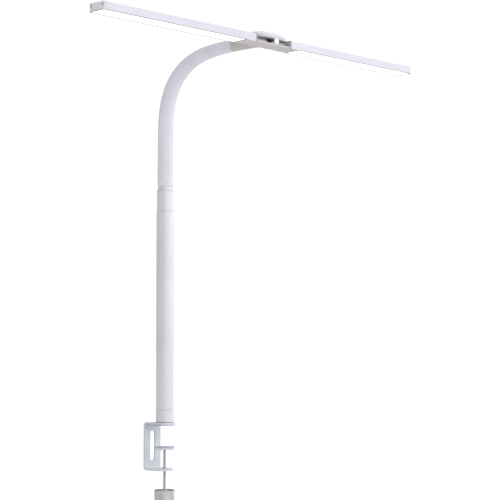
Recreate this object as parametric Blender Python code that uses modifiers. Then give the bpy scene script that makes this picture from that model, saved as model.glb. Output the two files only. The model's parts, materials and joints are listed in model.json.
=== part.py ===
"""Clamp-on desk lamp: a C-clamp, a swivelling pole, a gooseneck and two tilting light bars.

Metres, +Z up.  The origin is on the desk's surface, under the middle of the pole: the upper jaw's
rubber pad rests there.  The gooseneck bends towards -Y and the light bars lie along X.
"""
import math

import bmesh
import bpy
from mathutils import Matrix, Vector

MM = 0.001
GAP = 0.3 * MM  # clearance between pieces that touch
STEPS = 24  # facets round a turned piece

# Clamp: a steel strip bent into a C, with its screw on the pole's axis
STRIP_WIDTH = 41.2 * MM
STRIP_THICK = 4.0 * MM
STRIP_BACK = 36.7 * MM  # from the pole's axis to the strip's back face
STRIP_BEND = 6.5 * MM  # outer radius of its two bends
PAD_THICK = 1.7 * MM
JAW_OPENING = 82.9 * MM  # from the upper jaw's steel to the lower jaw's
LOWER_JAW_SETBACK = 6.5 * MM
SLOT_WIDTH = 12.0 * MM
SLOT_LENGTH = 57.5 * MM
SCREW_R = 3.0 * MM
NUT_R = 5.5 * MM
THROAT = 39.1 * MM  # what the clamp is open to, under the pad
PLATE_R = 19.3 * MM
PLATE_THICK = 4.5 * MM
PLATE_PAD_R = 18.9 * MM
PLATE_PAD_THICK = 1.4 * MM
CLIP_R = 5.5 * MM
CLIP_THICK = 0.8 * MM
KNOB_R = 19.3 * MM
KNOB_HEIGHT = 20.5 * MM
KNOB_DROP = 35.7 * MM  # from the lower jaw to the knob
KNOB_FLUTES = 5
FLUTE_R = 14.0 * MM
FLUTE_DEPTH = 5.0 * MM
FLUTE_TURN = math.radians(46.8)

# Pole
POLE_R = 16.95 * MM
POLE_WALL = 1.7 * MM
WASHER_THICK = 0.5 * MM
SLEEVE_HEIGHT = 22.7 * MM
SLEEVE_RIM = 0.3 * MM  # how far the base sleeve stands proud of the pole
SLEEVE_FLOOR = 6.0 * MM
SPIGOT = 20.0 * MM  # length of the spigots that plug into the pole's tube
SPIGOT_WALL = 3.0 * MM
TUBE_LENGTH = 374.7 * MM
COLLAR_LENGTH = 39.1 * MM
COLLAR_STEP = 0.7 * MM  # how much slimmer than the pole the collar is
BOLT_R = 3.9 * MM
BOLT_HEAD_R = 6.9 * MM
BOLT_NUT_R = 7.5 * MM
BOLT_NUT_THICK = 5.0 * MM
JACK_RISE = 62.0 * MM  # from the pole's foot to the power inlet
JACK_R = 4.0 * MM
JACK_FLANGE_R = 6.0 * MM
LEAD_R = 1.6 * MM

# Gooseneck: links that meet in ball joints; its line leaves the vertical as a smooth curve
NECK_START = 3.0 * MM  # from the collar to the first ball's centre
GOOSE_LENGTH = 377.5 * MM
GOOSE_STRAIGHT = 84.0 * MM
GOOSE_BEND = 160.0 * MM  # length scale of the bend
GOOSE_SHARPNESS = 2.42
GOOSE_END_TURN = math.radians(90.85)
GOOSE_LINKS = 12
GOOSE_BEND_SHARE = 0.4  # how much shorter the links are where it bends
GOOSE_R_START = 15.15 * MM
GOOSE_R_MIDDLE = 14.65 * MM
GOOSE_R_END = 11.2 * MM
GOOSE_SLIM_FROM = 60.0 * MM
GOOSE_SLIM_TO = 185.0 * MM
GOOSE_BORE = 5.0 * MM
BALL_STEP = 0.6 * MM  # how much smaller than its link a ball is
WAIST = 4.0 * MM
RIM_RISE = 5.0 * MM  # from a ball's centre to the rim of the cup round it
LINK_STEPS = 16
ARC_STEPS = 4

# Neck and hub
NECK_R = 11.1 * MM
NECK_LENGTH = 55.7 * MM
NECK_SPIGOT_R = 6.5 * MM
RETAINER_R = 8.2 * MM
RETAINER_THICK = 1.6 * MM
BOSS_R = 11.8 * MM
BOSS_WRAP = 0.6 * MM  # how much lower the hub's underside is than the boss
BOSS_LENGTH = 18.0 * MM
BOSS_PROUD = 8.0 * MM  # how far the boss stands behind the bars
HUB_HALF = 42.8 * MM
HUB_FLOOR = 2.6 * MM
HUB_WINDOW = 9.9 * MM  # height of the open windows that show the tilt barrels
HUB_BACK_WALL = 3.6 * MM
DECK_THICK = 2.0 * MM
COVER_RISE = 9.5 * MM  # from the bars' top to the cover's crown
COVER_WALL = 1.8 * MM
COVER_HALF = 40.0 * MM
COVER_SETBACK = 4.0 * MM  # from the hub's back to the cover's
COVER_ROUND = 8.0 * MM
COVER_SQUARENESS = 2.6  # superellipse exponent of the hub's plan
CORE_HALF = 7.0 * MM
CORE_DEPTH = 7.0 * MM
POST_HALF = 5.4 * MM
POST_DEPTH = 2.0 * MM
BARREL_R = 4.6 * MM
PIVOT_R = 2.5 * MM
BOARD_THICK = 1.2 * MM

# Light bars
BAR_HALF_SPAN = 400.0 * MM
BAR_GAP = 0.5 * MM  # running gap between the hub and each bar
BAR_WIDTH = 35.5 * MM
BAR_THICK = 14.5 * MM
BAR_WALL = 1.2 * MM
BAR_ROUND = 2.0 * MM
LIP_WIDTH = 2.0 * MM
LIP_THICK = 1.2 * MM
RIB_WIDTH = 4.6 * MM  # solid corner that takes the end screws
RIB_HEIGHT = 8.0 * MM
INNER_CAP = 3.0 * MM
OUTER_CAP = 2.5 * MM
DIFFUSER_THICK = 2.2 * MM
DIFFUSER_FLANGE = 1.0 * MM
CAP_SCREW_R = 1.4 * MM
CAP_SCREW_HEAD_R = 2.2 * MM
CAP_SCREW_LENGTH = 9.0 * MM
CAP_SCREW_SINK = 0.8 * MM
STUB_LENGTH = 12.0 * MM

# Heights that follow
STRIP_BOTTOM = PAD_THICK + GAP
STRIP_TOP = STRIP_BOTTOM + STRIP_THICK
LOWER_JAW_TOP = STRIP_BOTTOM - JAW_OPENING
LOWER_JAW_BOTTOM = LOWER_JAW_TOP - STRIP_THICK
PLATE_TOP = -THROAT - PLATE_PAD_THICK - GAP
PLATE_BOTTOM = PLATE_TOP - PLATE_THICK
SCREW_TOP = PLATE_BOTTOM + 0.7 * PLATE_THICK
KNOB_TOP = LOWER_JAW_BOTTOM - KNOB_DROP
KNOB_BOTTOM = KNOB_TOP - KNOB_HEIGHT
SCREW_BOTTOM = KNOB_TOP - 0.65 * KNOB_HEIGHT
SLEEVE_BOTTOM = STRIP_TOP + WASHER_THICK + 2 * GAP
SLEEVE_TOP = SLEEVE_BOTTOM + SLEEVE_HEIGHT
TUBE_BOTTOM = SLEEVE_TOP + GAP
TUBE_TOP = TUBE_BOTTOM + TUBE_LENGTH
COLLAR_BOTTOM = TUBE_TOP + GAP
COLLAR_TOP = COLLAR_BOTTOM + COLLAR_LENGTH
RING_BOTTOM = COLLAR_TOP + GAP
NECK_BASE = RING_BOTTOM + NECK_START
SPIGOT_R = POLE_R - POLE_WALL - GAP

# Rotations that lay an outline's plane, local XY, into another plane of the lamp
ALONG_X = Matrix(((0, 0, 1), (1, 0, 0), (0, 1, 0))).to_4x4()  # outline in YZ, thickness along X
ALONG_MINUS_Y = Matrix(((1, 0, 0), (0, 0, -1), (0, 1, 0))).to_4x4()  # outline in XZ


def new_collection(name):
    """Make a collection in the scene."""
    collection = bpy.data.collections.new(name)
    bpy.context.scene.collection.children.link(collection)
    return collection


def material(name, colour, roughness, metallic=0.0):
    """Make a Principled material."""
    made = bpy.data.materials.new(name)
    made.use_nodes = True
    shader = made.node_tree.nodes["Principled BSDF"]
    shader.inputs["Base Color"].default_value = (*colour, 1.0)
    shader.inputs["Roughness"].default_value = roughness
    shader.inputs["Metallic"].default_value = metallic
    return made


def at(x=0.0, y=0.0, z=0.0):
    """Give the matrix that moves to a point."""
    return Matrix.Translation((x, y, z))


def arc(centre, radius, start, end, count):
    """List points along an arc, from one angle in degrees to another."""
    angles = [math.radians(start + (end - start) * i / count) for i in range(count + 1)]
    return [(centre[0] + radius * math.cos(a), centre[1] + radius * math.sin(a)) for a in angles]


class Workshop:
    """Collections and materials, and the ways in which pieces are made."""

    def __init__(self):
        for old in list(bpy.data.objects):
            bpy.data.objects.remove(old)
        self.parts = new_collection("desk_lamp")
        self.cutters = new_collection("cutters")
        self.joints = new_collection("joints")
        self.silver = (0.62, 0.63, 0.66)
        self.bodies = {}

    def keep(self, name, mesh, place, colour=None, roughness=0.4, metallic=0.0):
        """Put a mesh in the scene, as a part when it has a colour and as a cutter when not."""
        obj = bpy.data.objects.new(name, mesh)
        obj.matrix_world = place
        if colour is None:
            self.cutters.objects.link(obj)
            obj.hide_render = True
            obj.display_type = "WIRE"
        else:
            self.parts.objects.link(obj)
            mesh.materials.append(material(name + "_finish", colour, roughness, metallic))
        return obj

    def turned(self, name, profile, place=Matrix(), ring=False, steps=STEPS, **finish):
        """Turn (radius, height) pairs, listed top to bottom down the outside, about local Z."""
        count = len(profile)
        edges = [(i, i + 1) for i in range(count - 1)]
        if ring:
            edges.append((count - 1, 0))
        mesh = bpy.data.meshes.new(name)
        mesh.from_pydata([(r, 0.0, z) for r, z in profile], edges, [])
        obj = self.keep(name, mesh, place, **finish)
        turn = obj.modifiers.new("Turn", "SCREW")
        turn.steps = steps
        turn.render_steps = steps
        turn.use_merge_vertices = True
        turn.merge_threshold = 0.00001
        turn.use_smooth_shade = True
        return obj

    def tube(self, name, outer, inner, bottom, top, place=Matrix(), **options):
        """Make a plain ring or tube about local Z."""
        profile = [(outer, top), (outer, bottom), (inner, bottom), (inner, top)]
        return self.turned(name, profile, place, ring=True, **options)

    def rod(self, name, radius, bottom, top, place=Matrix(), **options):
        """Make a plain solid rod about local Z."""
        return self.turned(name, [(0.0, top), (radius, top), (radius, bottom), (0.0, bottom)], place, **options)

    def box(self, name, low, high, **finish):
        """Make a box between two corners."""
        mesh = bpy.data.meshes.new(name)
        shape = bmesh.new()
        bmesh.ops.create_cube(shape, size=1.0)
        size = Vector(high) - Vector(low)
        bmesh.ops.scale(shape, vec=size, verts=shape.verts)
        shape.to_mesh(mesh)
        shape.free()
        return self.keep(name, mesh, Matrix.Translation((Vector(low) + Vector(high)) / 2), **finish)

    def flat(self, name, outlines, thickness, place=Matrix(), **finish):
        """Extrude closed outlines, a border and its holes, half the thickness each way in local Z."""
        curve = bpy.data.curves.new(name, "CURVE")
        curve.dimensions = "2D"
        curve.fill_mode = "BOTH"
        curve.extrude = thickness / 2
        for points in outlines:
            spline = curve.splines.new("POLY")
            spline.points.add(len(points) - 1)
            for point, (x, y) in zip(spline.points, points):
                point.co = (x, y, 0.0, 1.0)
            spline.use_cyclic_u = True
        return self.solid_from_curve(name, curve, place, finish)

    def wire(self, name, points, radius, **finish):
        """Make a round wire with closed ends through points."""
        curve = bpy.data.curves.new(name, "CURVE")
        curve.dimensions = "3D"
        curve.bevel_depth = radius
        curve.bevel_resolution = 2
        curve.use_fill_caps = True
        spline = curve.splines.new("POLY")
        spline.points.add(len(points) - 1)
        for point, place in zip(spline.points, points):
            point.co = (*place, 1.0)
        return self.solid_from_curve(name, curve, Matrix(), finish)

    def solid_from_curve(self, name, curve, place, finish):
        """Turn a curve into a welded mesh object."""
        guide = bpy.data.objects.new(name + "_curve", curve)
        self.cutters.objects.link(guide)
        bpy.context.view_layer.update()
        evaluated = guide.evaluated_get(bpy.context.evaluated_depsgraph_get())
        mesh = bpy.data.meshes.new_from_object(evaluated)
        bpy.data.objects.remove(guide)
        shape = bmesh.new()
        shape.from_mesh(mesh)
        bmesh.ops.remove_doubles(shape, verts=shape.verts, dist=0.000001)
        shape.to_mesh(mesh)
        shape.free()
        mesh.materials.clear()
        mesh.name = name
        return self.keep(name, mesh, place, **finish)

    def combine(self, obj, others, operation="DIFFERENCE"):
        """Cut other solids from an object, or join them to it."""
        for other in others:
            step = obj.modifiers.new(other.name, "BOOLEAN")
            step.operation = operation
            step.object = other
            step.solver = "EXACT"
        return obj

    def soften(self, obj, width, segments=2, angle=50.0):
        """Round an object's sharp edges."""
        bevel = obj.modifiers.new("Soften", "BEVEL")
        bevel.width = width
        bevel.segments = segments
        bevel.limit_method = "ANGLE"
        bevel.angle_limit = math.radians(angle)
        return obj

    def body(self, name, parent, place, pieces):
        """Hang pieces on an empty that stands on their joint's axis, and that on its parent body."""
        empty = bpy.data.objects.new("joint_" + name, None)
        empty.empty_display_size = 10 * MM
        empty.matrix_world = place
        self.joints.objects.link(empty)
        bpy.context.view_layer.update()
        if parent:
            empty.parent = self.bodies[parent]
            empty.matrix_parent_inverse = self.bodies[parent].matrix_world.inverted()
        for piece in pieces:
            piece.parent = empty
            piece.matrix_parent_inverse = empty.matrix_world.inverted()
        self.bodies[name] = empty
        bpy.context.view_layer.update()


def strip_outline():
    """Outline the clamp's C-shaped strip in the YZ plane."""
    front = -STRIP_WIDTH
    bend = STRIP_BACK - STRIP_BEND
    inner = STRIP_BEND - STRIP_THICK
    outside = arc((bend, STRIP_TOP - STRIP_BEND), STRIP_BEND, 90, 0, 10)
    outside += arc((bend, LOWER_JAW_BOTTOM + STRIP_BEND), STRIP_BEND, 0, -90, 10)
    inside = arc((bend, LOWER_JAW_TOP + inner), inner, -90, 0, 4)
    inside += arc((bend, STRIP_BOTTOM - inner), inner, 0, 90, 4)
    tips = [(front, LOWER_JAW_BOTTOM), (front, LOWER_JAW_TOP)]
    return [(front, STRIP_TOP)] + outside + tips + inside + [(front, STRIP_BOTTOM)]


def jaw_notch(setback):
    """Outline what is cut off a jaw's front to leave it round: a block less half a disc."""
    half = STRIP_WIDTH / 2
    wide = half + 4 * MM
    deep = setback - 2 * STRIP_WIDTH
    round_front = arc((0.0, setback), half, 180, 360, 24)
    return [(-wide, setback), *round_front, (wide, setback), (wide, deep), (-wide, deep)]


def make_clamp(shop):
    """Make the clamp's fixed pieces: strip, pad, nut, and the bolt that holds the pole."""
    steel = {"colour": shop.silver, "roughness": 0.35, "metallic": 0.8}
    bracket = shop.flat("clamp_bracket", [strip_outline()], STRIP_WIDTH, ALONG_X, **steel)
    upper_notch = shop.flat("cut_upper_jaw", [jaw_notch(0.0)], 3 * STRIP_THICK, at(z=STRIP_TOP))
    lower_place = at(z=LOWER_JAW_BOTTOM)
    lower_notch = shop.flat("cut_lower_jaw", [jaw_notch(LOWER_JAW_SETBACK)], 3 * STRIP_THICK, lower_place)
    slot_half = SLOT_WIDTH / 2
    slot_run = SLOT_LENGTH / 2 - slot_half
    slot = arc((0, slot_run), slot_half, 0, 180, 8) + arc((0, -slot_run), slot_half, 180, 360, 8)
    slot_middle = (STRIP_BOTTOM + LOWER_JAW_TOP) / 2
    slot_cut = shop.flat("cut_slot", [slot], 4 * STRIP_THICK, at(y=STRIP_BACK, z=slot_middle) @ ALONG_MINUS_Y)
    head_low = STRIP_BOTTOM + GAP
    sink = BOLT_HEAD_R - BOLT_R
    bolt_profile = [(0.0, SLEEVE_BOTTOM + SLEEVE_FLOOR + BOLT_NUT_THICK + 3 * MM)]
    bolt_profile += [(BOLT_R, bolt_profile[0][1]), (BOLT_R, head_low + sink), (BOLT_HEAD_R, head_low)]
    bolt_profile += [(0.0, head_low)]
    hole = [(0.0, STRIP_TOP + STRIP_THICK), (BOLT_R + GAP, STRIP_TOP + STRIP_THICK)]
    hole += [(BOLT_R + GAP, head_low + sink + GAP), (BOLT_HEAD_R + 2 * GAP, STRIP_BOTTOM - GAP)]
    hole += [(BOLT_HEAD_R + 2 * GAP, STRIP_BOTTOM - STRIP_THICK), (0.0, STRIP_BOTTOM - STRIP_THICK)]
    bolt_hole = shop.turned("cut_bolt_hole", hole)
    nut_hole = shop.rod("cut_nut_hole", NUT_R + GAP, LOWER_JAW_BOTTOM - STRIP_THICK, LOWER_JAW_TOP + STRIP_THICK)
    shop.combine(bracket, [upper_notch, lower_notch, slot_cut, bolt_hole, nut_hole])

    half = STRIP_WIDTH / 2 - 0.5 * MM
    back = STRIP_BACK - STRIP_BEND - 2 * MM
    pad_outline = [(half, back), (-half, back)] + arc((0, 0), half, 180, 360, 24)
    rubber = {"colour": (0.03, 0.03, 0.03), "roughness": 0.85}
    pad = shop.flat("upper_jaw_pad", [pad_outline], PAD_THICK, at(z=PAD_THICK / 2), **rubber)
    brass = {"colour": (0.55, 0.55, 0.55), "roughness": 0.3, "metallic": 1.0}
    nut = shop.tube("thread_nut", NUT_R, SCREW_R + GAP, LOWER_JAW_BOTTOM, LOWER_JAW_TOP, **brass)
    bolt = shop.turned("pole_bolt", bolt_profile, **brass)
    nut_low = SLEEVE_BOTTOM + SLEEVE_FLOOR + GAP
    hexagon = arc((0, 0), BOLT_NUT_R, 0, 300, 5)
    bore = arc((0, 0), BOLT_R + GAP, 0, 345, 23)
    lock = shop.flat("pole_nut", [hexagon, bore], BOLT_NUT_THICK, at(z=nut_low + BOLT_NUT_THICK / 2), **brass)
    nylon = {"colour": (0.12, 0.12, 0.12), "roughness": 0.5}
    low = STRIP_TOP + GAP
    washer = shop.tube("swivel_washer", POLE_R - 0.5 * MM, BOLT_R + GAP, low, low + WASHER_THICK, **nylon)
    shop.body("clamp", None, Matrix(), [bracket, pad, nut, bolt, lock, washer])


def make_screw(shop):
    """Make the pressure plate, and the screw and knob that turn under it."""
    steel = {"colour": shop.silver, "roughness": 0.3, "metallic": 0.85}
    socket_top = SCREW_TOP + GAP
    socket_r = SCREW_R + GAP
    plate_profile = [(0.0, PLATE_TOP), (PLATE_R - 0.6 * MM, PLATE_TOP), (PLATE_R, PLATE_TOP - 0.6 * MM)]
    plate_profile += [(PLATE_R, PLATE_BOTTOM), (socket_r, PLATE_BOTTOM), (socket_r, socket_top), (0.0, socket_top)]
    plate = shop.turned("pressure_plate", plate_profile, **steel)
    rubber = {"colour": (0.03, 0.03, 0.03), "roughness": 0.85}
    pad = shop.rod("pressure_pad", PLATE_PAD_R, -THROAT - PLATE_PAD_THICK, -THROAT, **rubber)
    shop.body("press", "clamp", Matrix(), [plate, pad])

    tip = 0.6 * MM
    screw_profile = [(0.0, SCREW_TOP), (SCREW_R - tip, SCREW_TOP), (SCREW_R, SCREW_TOP - tip)]
    screw_profile += [(SCREW_R, SCREW_BOTTOM + tip), (SCREW_R - tip, SCREW_BOTTOM), (0.0, SCREW_BOTTOM)]
    screw = shop.turned("clamp_screw", screw_profile, **steel)
    clip_top = PLATE_BOTTOM - GAP
    clip = shop.tube("screw_clip", CLIP_R, socket_r, clip_top - CLIP_THICK, clip_top, **steel)
    edge = 2.0 * MM
    knob_profile = [(socket_r, KNOB_TOP), (KNOB_R - edge / 2, KNOB_TOP), (KNOB_R, KNOB_TOP - edge / 2)]
    knob_profile += [(KNOB_R, KNOB_BOTTOM + edge), (KNOB_R - edge, KNOB_BOTTOM), (0.0, KNOB_BOTTOM)]
    knob_profile = [(0.0, SCREW_BOTTOM - GAP), (socket_r, SCREW_BOTTOM - GAP)] + knob_profile
    plastic = {"colour": (0.55, 0.55, 0.57), "roughness": 0.45}
    knob = shop.turned("clamp_knob", knob_profile, **plastic)
    lean = math.atan2(FLUTE_DEPTH, KNOB_HEIGHT)
    flutes = []
    for i in range(KNOB_FLUTES):
        turn = Matrix.Rotation(FLUTE_TURN + 2 * math.pi * i / KNOB_FLUTES, 4, "Z")
        place = turn @ at(x=KNOB_R + FLUTE_R, z=KNOB_TOP - edge) @ Matrix.Rotation(lean, 4, "Y")
        flutes.append(shop.rod(f"cut_flute_{i + 1}", FLUTE_R, -2 * KNOB_HEIGHT, KNOB_HEIGHT, place, steps=24))
    shop.combine(knob, flutes)
    shop.body("screw", "press", Matrix(), [screw, clip, knob])


def make_pole(shop):
    """Make the pole: sleeve, tube, collar, the ring with the first ball, inlet and inner lead."""
    satin = {"colour": shop.silver, "roughness": 0.35, "metallic": 0.7}
    sleeve_r = POLE_R + SLEEVE_RIM
    cavity = SPIGOT_R - SPIGOT_WALL
    floor = SLEEVE_BOTTOM + SLEEVE_FLOOR
    hole = BOLT_R + GAP
    profile = [(cavity, SLEEVE_TOP + SPIGOT), (SPIGOT_R, SLEEVE_TOP + SPIGOT), (SPIGOT_R, SLEEVE_TOP)]
    profile += [(sleeve_r, SLEEVE_TOP), (sleeve_r, SLEEVE_BOTTOM), (hole, SLEEVE_BOTTOM), (hole, floor)]
    profile += [(cavity, floor)]
    sleeve = shop.turned("base_sleeve", profile, ring=True, **satin)
    jack_z = SLEEVE_TOP + JACK_RISE
    tube = shop.tube("pole_tube", POLE_R, POLE_R - POLE_WALL, TUBE_BOTTOM, TUBE_TOP, **satin)
    jack_place = at(z=jack_z) @ Matrix.Rotation(-math.pi / 2, 4, "X")
    jack_hole = shop.rod("cut_jack_hole", JACK_R + GAP, 0.5 * POLE_R, 1.5 * POLE_R, jack_place)
    shop.combine(tube, [jack_hole])
    jack_profile = [(0.0, POLE_R), (JACK_R - 1.2 * MM, POLE_R), (JACK_R - 1.2 * MM, POLE_R + 1.8 * MM)]
    jack_profile += [(JACK_FLANGE_R, POLE_R + 1.8 * MM), (JACK_FLANGE_R, POLE_R + GAP), (JACK_R, POLE_R + GAP)]
    jack_profile += [(JACK_R, POLE_R - 9 * MM), (0.0, POLE_R - 9 * MM)]
    black = {"colour": (0.02, 0.02, 0.02), "roughness": 0.4}
    jack = shop.turned("dc_jack", jack_profile, jack_place, steps=24, **black)
    collar_r = POLE_R - COLLAR_STEP
    profile = [(collar_r, COLLAR_TOP), (collar_r, COLLAR_BOTTOM), (SPIGOT_R, COLLAR_BOTTOM)]
    profile += [(SPIGOT_R, COLLAR_BOTTOM - SPIGOT), (cavity, COLLAR_BOTTOM - SPIGOT), (cavity, COLLAR_TOP)]
    collar = shop.turned("pole_collar", profile, ring=True, **satin)
    ball = GOOSE_R_START - BALL_STEP
    profile = ball_arc(ball, NECK_BASE) + [(ball, NECK_BASE - WAIST / 2), (collar_r, NECK_BASE - WAIST / 2)]
    profile += [(collar_r, RING_BOTTOM), (cavity - GAP, RING_BOTTOM)]
    profile += [(cavity - GAP, RING_BOTTOM - SPIGOT), (GOOSE_BORE, RING_BOTTOM - SPIGOT)]
    ring = shop.turned("collar_ring", profile, ring=True, **satin)
    start = POLE_R - 9 * MM - GAP
    bend = start - LEAD_R
    turn_in = arc((bend, jack_z + bend), bend, 270, 180, 5)
    points = [(0.0, start, jack_z)] + [(0.0, y, z) for y, z in turn_in]
    points += [(0.0, 0.0, RING_BOTTOM - SPIGOT / 2)]
    lead = shop.wire("pole_lead", points, LEAD_R, **black)
    shop.body("pole", "clamp", at(z=SLEEVE_BOTTOM), [sleeve, tube, jack, collar, ring, lead])


def ball_arc(radius, centre):
    """List a ball's profile from the bore's edge down to its middle."""
    start = math.degrees(math.acos(GOOSE_BORE / radius))
    return arc((0.0, centre), radius, start, 0, ARC_STEPS)


def cup_arc(ball):
    """List the profile of the cup round a ball at the origin, from its rim up to the bore's edge.

    Its radius clears the ball by the gap even where facets of one meet edges of the other.
    """
    facets = math.cos(math.pi / LINK_STEPS) * math.cos(math.radians(90 / ARC_STEPS / 2))
    radius = (ball + GAP) / facets
    start = math.degrees(math.asin(RIM_RISE / radius))
    end = math.degrees(math.acos(GOOSE_BORE / radius))
    return arc((0.0, 0.0), radius, start, end, ARC_STEPS)


def heading(s):
    """Give the gooseneck's angle from the vertical at a length along it."""
    beyond = max(0.0, s - GOOSE_STRAIGHT)
    return GOOSE_END_TURN * (1 - math.exp(-((beyond / GOOSE_BEND) ** GOOSE_SHARPNESS)))


def goose_radius(s):
    """Give the gooseneck's outer radius at a length along it: it slims fast, then slowly."""
    fast = min(1.0, max(0.0, (s - GOOSE_SLIM_FROM) / (GOOSE_SLIM_TO - GOOSE_SLIM_FROM)))
    slow = max(0.0, (s - GOOSE_SLIM_TO) / (GOOSE_LENGTH - GOOSE_SLIM_TO))
    return GOOSE_R_START + (GOOSE_R_MIDDLE - GOOSE_R_START) * fast + (GOOSE_R_END - GOOSE_R_MIDDLE) * slow


def goose_points():
    """Give the joints' points and lengths along the gooseneck, closer where it bends."""
    fine = 2000
    step = GOOSE_LENGTH / fine
    y, z = 0.0, NECK_BASE
    line = [(0.0, y, z)]
    total = 1 + GOOSE_BEND_SHARE * heading(GOOSE_LENGTH) / GOOSE_END_TURN
    chosen = [(0.0, Vector((0.0, y, z)))]
    for i in range(fine):
        middle = heading((i + 0.5) * step)
        y -= step * math.sin(middle)
        z += step * math.cos(middle)
        line.append((0.0, y, z))
        s = (i + 1) * step
        share = (s / GOOSE_LENGTH + GOOSE_BEND_SHARE * heading(s) / GOOSE_END_TURN) / total
        if share * GOOSE_LINKS >= len(chosen) - 1e-9:
            chosen.append((s, Vector(line[-1])))
    return chosen


def chord_place(start, end):
    """Give a link's matrix: its local Z runs to the next joint, and local X stays along X."""
    z = (end - start).normalized()
    y = z.cross(Vector((1, 0, 0)))
    turn = Matrix((Vector((1, 0, 0)), y, z)).transposed().to_4x4()
    return Matrix.Translation(start) @ turn


def make_gooseneck(shop):
    """Make the links: each has a cup at its start and, but for the last, a ball at its end."""
    rubber = {"colour": (0.66, 0.66, 0.70), "roughness": 0.55}
    joints = goose_points()
    parent = "pole"
    for i in range(GOOSE_LINKS):
        (s0, start), (s1, end) = joints[i], joints[i + 1]
        length = (end - start).length
        first, last = goose_radius(s0), goose_radius(s1)
        rim = (first + (last - first) * RIM_RISE / length, RIM_RISE)
        if i < GOOSE_LINKS - 1:
            ball = last - BALL_STEP
            tail = ball_arc(ball, length) + [(ball, length - WAIST), (last, length - WAIST - BALL_STEP)]
        else:
            lean = (end - start).angle(Vector((0, -1, 0)))
            level = length - GAP - last * math.sin(lean)
            tail = [(GOOSE_BORE, level), (last, level)]
        profile = tail + [rim] + cup_arc(first - BALL_STEP)
        name = f"gooseneck_{i + 1:02d}"
        link = shop.turned(name, profile, chord_place(start, end), ring=True, steps=LINK_STEPS, **rubber)
        pieces = [link]
        if i == GOOSE_LINKS - 1:
            pieces += make_neck(shop, end)
        shop.body(name, parent, Matrix.Translation(start), pieces)
        parent = name


def along_neck(start):
    """Give the matrix whose local Z runs along the neck, towards -Y, from a point."""
    return Matrix.Translation(start) @ Matrix.Rotation(math.pi / 2, 4, "X")


def make_neck(shop, start):
    """Make the neck's socket, with the spigot that the hub turns on, and its retaining ring."""
    spigot_end = NECK_LENGTH + BOSS_LENGTH + 2 * GAP + RETAINER_THICK + GAP
    profile = [(GOOSE_BORE, spigot_end), (NECK_SPIGOT_R - 2 * GAP, spigot_end)]
    profile += [(NECK_SPIGOT_R - 2 * GAP, NECK_LENGTH + BOSS_LENGTH + GAP)]
    profile += [(NECK_SPIGOT_R, NECK_LENGTH + BOSS_LENGTH + GAP), (NECK_SPIGOT_R, NECK_LENGTH)]
    profile += [(NECK_R, NECK_LENGTH), (NECK_R, 0.0), (GOOSE_BORE, 0.0)]
    satin = {"colour": (0.55, 0.54, 0.52), "roughness": 0.4, "metallic": 0.5}
    socket = shop.turned("neck_socket", profile, along_neck(start), ring=True, **satin)
    low = NECK_LENGTH + BOSS_LENGTH + 2 * GAP
    steel = {"colour": (0.4, 0.4, 0.4), "roughness": 0.3, "metallic": 1.0}
    place = along_neck(start)
    retainer = shop.tube("neck_retainer", RETAINER_R, NECK_SPIGOT_R - GAP, low, low + RETAINER_THICK, place, **steel)
    return [socket, retainer]


def plan_outline(half_x, half_y, count=40):
    """Outline the hub's plan: a superellipse."""
    points = []
    for i in range(count):
        a = 2 * math.pi * i / count
        c, s = math.cos(a), math.sin(a)
        x = half_x * math.copysign(abs(c) ** (2 / COVER_SQUARENESS), c)
        y = half_y * math.copysign(abs(s) ** (2 / COVER_SQUARENESS), s)
        points.append((x, y))
    return points


def cover_dome(shop, name, half_x, half_y, bottom, top, rounding, place, **finish):
    """Loft the cover: plan outlines that shrink over a rounded shoulder to a nearly flat crown."""
    levels = [(0.0, bottom)]
    shoulder = top - rounding
    turns = 4
    for i in range(turns + 1):
        a = math.pi / 2 * i / turns
        levels.append((rounding * (1 - math.cos(a)), shoulder + 0.8 * rounding * math.sin(a)))
    crown = top - shoulder - 0.8 * rounding
    inset = 1.6 * rounding
    levels.append((inset, shoulder + 0.8 * rounding + 0.6 * crown))
    shape = bmesh.new()
    rings = []
    for shrink, z in levels:
        outline = plan_outline(half_x - shrink, half_y - shrink)
        rings.append([shape.verts.new((x, y, z)) for x, y in outline])
    bmesh.ops.contextual_create(shape, geom=rings[0])
    for low, high in zip(rings, rings[1:]):
        edges = [shape.edges.get(pair) or shape.edges.new(pair) for ring in (low, high)
                 for pair in zip(ring, ring[1:] + ring[:1])]
        bmesh.ops.bridge_loops(shape, edges=edges)
    peak = shape.verts.new((0.0, 0.0, top))
    for pair in zip(rings[-1], rings[-1][1:] + rings[-1][:1]):
        shape.faces.new((*pair, peak))
    bmesh.ops.recalc_face_normals(shape, faces=shape.faces)
    mesh = bpy.data.meshes.new(name)
    shape.to_mesh(mesh)
    shape.free()
    return shop.keep(name, mesh, place, **finish)


class Head:
    """Places of the head, worked out from where the gooseneck ends."""

    def __init__(self):
        end = goose_points()[-1][1]
        self.neck_start = end
        self.half_width = BAR_WIDTH / 2
        boss_back = end.y - NECK_LENGTH - GAP
        self.boss_back = boss_back
        self.back = boss_back - BOSS_PROUD
        self.y = self.back - self.half_width
        self.front = self.back - BAR_WIDTH
        self.bottom = end.z - BOSS_R - BOSS_WRAP
        self.top = self.bottom + BAR_THICK
        self.floor = self.bottom + HUB_FLOOR
        self.deck = self.floor + HUB_WINDOW
        self.deck_top = self.deck + DECK_THICK
        self.axis_z = self.floor + HUB_WINDOW / 2
        self.bar_start = HUB_HALF + BAR_GAP


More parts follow.
